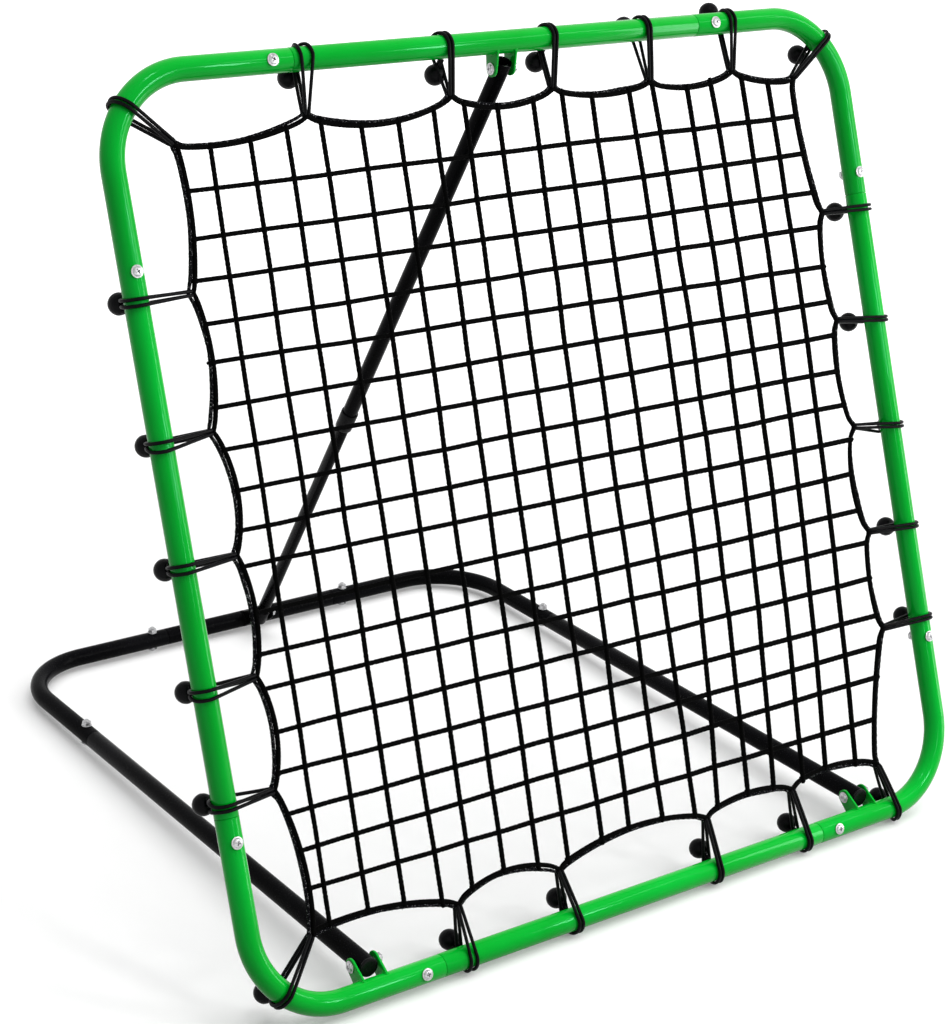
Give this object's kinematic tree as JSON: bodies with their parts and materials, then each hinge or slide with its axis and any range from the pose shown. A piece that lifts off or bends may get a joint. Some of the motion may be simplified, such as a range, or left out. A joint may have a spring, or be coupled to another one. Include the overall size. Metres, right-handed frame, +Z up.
{
  "type": "rebounder net",
  "caption": "Square tubular frame with a bungee-hung mesh net, leaning back on a U-shaped floor base and held by a telescopic rear strut.",
  "frame": {"origin": "on the floor, under the middle of the object: midway between the centre lines of the bottom frame tube and the rear crossbar", "axes": "+X to the right as the net's front shows it, +Y to the rear, from the net towards the crossbar, +Z up; the net faces -Y"},
  "size_m": [1.0228, 0.8671, 0.9211],
  "materials": {
    "green_powder_coat": "gloss powder coat",
    "black_powder_coat": "semi-gloss powder coat",
    "zinc_plate": "bright zinc plate",
    "black_plastic": "smooth black",
    "net_cord": "braided cord",
    "border_rope": "braided rope",
    "bungee_rubber": "woven elastic cord with a plastic ball"
  },
  "bodies": {
    "base": {"base_crossbar": "black_powder_coat", "base_corner_left": "black_powder_coat", "base_corner_right": "black_powder_coat", "base_leg_left": "black_powder_coat", "base_leg_right": "black_powder_coat", "leg_plug_left": "black_plastic", "leg_plug_right": "black_plastic", "base_bolt_left_across": "zinc_plate", "base_bolt_left_leg": "zinc_plate", "base_bolt_right_across": "zinc_plate", "base_bolt_right_leg": "zinc_plate", "pivot_bolt_strut_rear": "zinc_plate"},
    "front_frame": {"frame_corner_top_left": "green_powder_coat", "frame_corner_top_right": "green_powder_coat", "frame_corner_bottom_left": "green_powder_coat", "frame_corner_bottom_right": "green_powder_coat", "frame_tube_top": "green_powder_coat", "frame_tube_bottom": "green_powder_coat", "frame_tube_left": "green_powder_coat", "frame_tube_right": "green_powder_coat", "frame_bolt_top_left_across": "zinc_plate", "frame_bolt_top_left_upright": "zinc_plate", "frame_bolt_top_right_across": "zinc_plate", "frame_bolt_top_right_upright": "zinc_plate", "frame_bolt_bottom_left_across": "zinc_plate", "frame_bolt_bottom_left_upright": "zinc_plate", "frame_bolt_bottom_right_across": "zinc_plate", "frame_bolt_bottom_right_upright": "zinc_plate", "pivot_bolt_left_leg": "zinc_plate", "pivot_bolt_right_leg": "zinc_plate", "pivot_bolt_strut_top": "zinc_plate", "net": "net_cord", "border_rope": "border_rope", "bungee_top_1": "bungee_rubber", "bungee_top_2": "bungee_rubber", "bungee_top_3": "bungee_rubber", "bungee_top_4": "bungee_rubber", "bungee_top_5": "bungee_rubber", "bungee_right_1": "bungee_rubber", "bungee_right_2": "bungee_rubber", "bungee_right_3": "bungee_rubber", "bungee_right_4": "bungee_rubber", "bungee_right_5": "bungee_rubber", "bungee_bottom_1": "bungee_rubber", "bungee_bottom_2": "bungee_rubber", "bungee_bottom_3": "bungee_rubber", "bungee_bottom_4": "bungee_rubber", "bungee_left_1": "bungee_rubber", "bungee_left_2": "bungee_rubber", "bungee_left_3": "bungee_rubber", "bungee_left_4": "bungee_rubber", "bungee_left_5": "bungee_rubber", "bungee_corner_top_left": "bungee_rubber", "bungee_corner_top_right": "bungee_rubber", "bungee_corner_bottom_left": "bungee_rubber", "bungee_corner_bottom_right": "bungee_rubber"},
    "strut_upper": {"strut_outer_tube": "black_powder_coat", "strut_collar": "black_plastic"},
    "strut_lower": {"strut_inner_tube": "black_powder_coat", "strut_end_cap": "black_plastic"}
  },
  "joints": [
    {"name": "frame_tilt", "type": "hinge", "parent": "base", "child": "front_frame", "pos_m": [0, -0.39478, 0.03506], "axis": [-1, 0, 0], "range_deg": [-6, 12]},
    {"name": "strut_swing", "type": "hinge", "parent": "front_frame", "child": "strut_upper", "pos_m": [0, -0.06968, 0.87229], "axis": [-1, 0, 0], "range_deg": [-6, 4]},
    {"name": "strut_extension", "type": "slide", "parent": "strut_upper", "child": "strut_lower", "axis": [0, 0.4785, -0.8781], "range_m": [-0.16, 0.08]}
  ],
  "couplings": [
    {"joint": "strut_swing", "follows": "frame_tilt", "ratio": -0.385},
    {"joint": "strut_extension", "follows": "frame_tilt", "m_per_rad": -0.6975}
  ]
}
